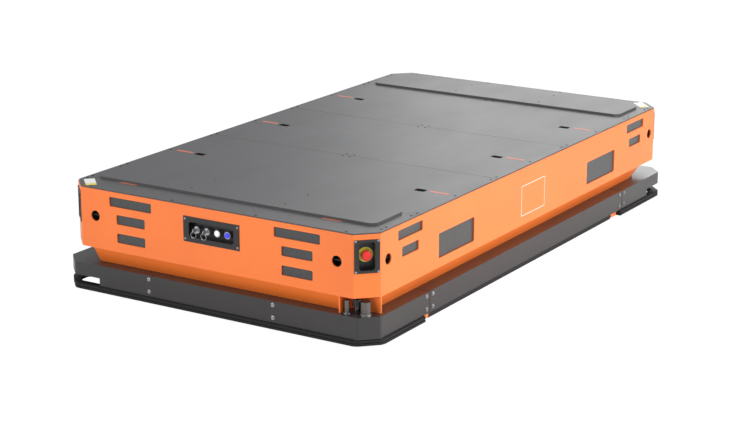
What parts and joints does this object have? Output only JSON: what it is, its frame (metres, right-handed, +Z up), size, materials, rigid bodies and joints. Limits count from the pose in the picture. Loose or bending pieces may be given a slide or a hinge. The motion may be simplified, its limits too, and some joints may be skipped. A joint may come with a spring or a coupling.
{
  "type": "mobile robot",
  "caption": "Low flat-deck mobile platform robot on roller wheels, with a rocking rear axle, bumper ring, recessed stop buttons and a key panel",
  "frame": {"origin": "on the floor, under the middle of the robot", "axes": "+X to the robot's side on the right hand of someone who stands before the control panel and looks at it, +Y along the robot from the control panel end to the far end, +Z up"},
  "size_m": [1.51, 2.654, 0.465],
  "materials": {
    "shell_paint": "gloss",
    "deck_paint": "satin",
    "black_paint": "satin",
    "grey_sheet": "satin",
    "frame_paint": "matte",
    "steel": "satin",
    "bright_metal": "polished",
    "motor_case": "satin",
    "strip_rubber": "matte",
    "roller_rubber": "matte",
    "black_plastic": "matte",
    "stop_red": "gloss",
    "stop_yellow": "gloss",
    "button_white": "gloss",
    "button_blue": "gloss",
    "battery_case": "matte",
    "cabinet_case": "matte"
  },
  "bodies": {
    "chassis": {"upper_shell": "shell_paint", "end_windows": "grey_sheet", "side_windows": "grey_sheet", "service_panels": "grey_sheet", "tie_down_points": "frame_paint", "deck_front_strip": "deck_paint", "deck_front_plate": "deck_paint", "deck_middle_plate": "deck_paint", "deck_rear_plate": "deck_paint", "deck_rear_strip": "deck_paint", "deck_front_cover": "deck_paint", "deck_rear_cover": "deck_paint", "lift_grips": "black_paint", "chassis_frame": "shell_paint", "chassis_webs": "shell_paint", "chassis_walls": "shell_paint", "floor_plate": "shell_paint", "front_axle_cradle": "frame_paint", "axle_pivot_pins": "steel", "front_gearmotors": "motor_case", "bumper_front": "black_paint", "bumper_rear": "black_paint", "bumper_left": "black_paint", "bumper_right": "black_paint", "bumper_bolts": "steel", "safety_strip_front": "strip_rubber", "safety_strip_rear": "strip_rubber", "side_skirts": "black_paint", "estop_plates": "black_paint", "estop_collars": "stop_yellow", "estop_contact_blocks": "black_plastic", "control_panel": "black_paint", "key_switches": "bright_metal", "push_button_bezels": "bright_metal", "upper_scanners": "black_plastic", "lower_scanners": "black_plastic", "scanner_guard_posts": "steel", "battery_modules": "battery_case", "controller_cabinet": "cabinet_case", "power_cabinet": "cabinet_case"},
    "rear_axle": {"rear_axle_cradle": "frame_paint", "rear_gearmotors": "motor_case"},
    "wheel_front_left": {"wheel_front_left": "frame_paint", "rollers_front_left": "roller_rubber"},
    "stop_front_left": {"estop_head_front_left": "stop_red"},
    "wheel_front_right": {"wheel_front_right": "frame_paint", "rollers_front_right": "roller_rubber"},
    "stop_front_right": {"estop_head_front_right": "stop_red"},
    "wheel_rear_left": {"wheel_rear_left": "frame_paint", "rollers_rear_left": "roller_rubber"},
    "stop_rear_left": {"estop_head_rear_left": "stop_red"},
    "wheel_rear_right": {"wheel_rear_right": "frame_paint", "rollers_rear_right": "roller_rubber"},
    "stop_rear_right": {"estop_head_rear_right": "stop_red"},
    "key_left": {"key_left": "bright_metal"},
    "key_ring_left": {"key_ring_left": "bright_metal"},
    "key_right": {"key_right": "bright_metal"},
    "key_ring_right": {"key_ring_right": "bright_metal"},
    "white_button": {"white_button": "button_white"},
    "blue_button": {"blue_button": "button_blue"}
  },
  "joints": [
    {"name": "rear_axle_rock", "type": "hinge", "parent": "chassis", "child": "rear_axle", "pos_m": [0, 0.76, 0.1875], "axis": [0, 1, 0], "range_deg": [-1.5, 1.5]},
    {"name": "wheel_front_left_spin", "type": "hinge", "parent": "chassis", "child": "wheel_front_left", "pos_m": [-0.56, -0.76, 0.1875], "axis": [1, 0, 0], "continuous": true},
    {"name": "wheel_front_right_spin", "type": "hinge", "parent": "chassis", "child": "wheel_front_right", "pos_m": [0.56, -0.76, 0.1875], "axis": [1, 0, 0], "continuous": true},
    {"name": "wheel_rear_left_spin", "type": "hinge", "parent": "rear_axle", "child": "wheel_rear_left", "pos_m": [-0.56, 0.76, 0.1875], "axis": [1, 0, 0], "continuous": true},
    {"name": "wheel_rear_right_spin", "type": "hinge", "parent": "rear_axle", "child": "wheel_rear_right", "pos_m": [0.56, 0.76, 0.1875], "axis": [1, 0, 0], "continuous": true},
    {"name": "stop_front_left_press", "type": "slide", "parent": "chassis", "child": "stop_front_left", "axis": [0.7071, 0.7071, 0], "range_m": [0, 0.004]},
    {"name": "stop_front_right_press", "type": "slide", "parent": "chassis", "child": "stop_front_right", "axis": [-0.7071, 0.7071, 0], "range_m": [0, 0.004]},
    {"name": "stop_rear_left_press", "type": "slide", "parent": "chassis", "child": "stop_rear_left", "axis": [0.7071, -0.7071, 0], "range_m": [0, 0.004]},
    {"name": "stop_rear_right_press", "type": "slide", "parent": "chassis", "child": "stop_rear_right", "axis": [-0.7071, -0.7071, 0], "range_m": [0, 0.004]},
    {"name": "key_left_turn", "type": "hinge", "parent": "chassis", "child": "key_left", "pos_m": [-0.0735, -1.296, 0.3565], "axis": [0, 1, 0], "range_deg": [0, 90]},
    {"name": "key_ring_left_swing", "type": "hinge", "parent": "key_left", "child": "key_ring_left", "pos_m": [-0.0735, -1.318, 0.3548], "axis": [1, 0, 0], "range_deg": [-70, 25]},
    {"name": "key_right_turn", "type": "hinge", "parent": "chassis", "child": "key_right", "pos_m": [-0.0245, -1.296, 0.3565], "axis": [0, 1, 0], "range_deg": [0, 90]},
    {"name": "key_ring_right_swing", "type": "hinge", "parent": "key_right", "child": "key_ring_right", "pos_m": [-0.0245, -1.318, 0.3548], "axis": [1, 0, 0], "range_deg": [-70, 25]},
    {"name": "white_button_press", "type": "slide", "parent": "chassis", "child": "white_button", "axis": [0, 1, 0], "range_m": [0, 0.003], "stiffness_N_per_m": 1000, "springref_m": -0.002},
    {"name": "blue_button_press", "type": "slide", "parent": "chassis", "child": "blue_button", "axis": [0, 1, 0], "range_m": [0, 0.003], "stiffness_N_per_m": 1000, "springref_m": -0.002}
  ]
}
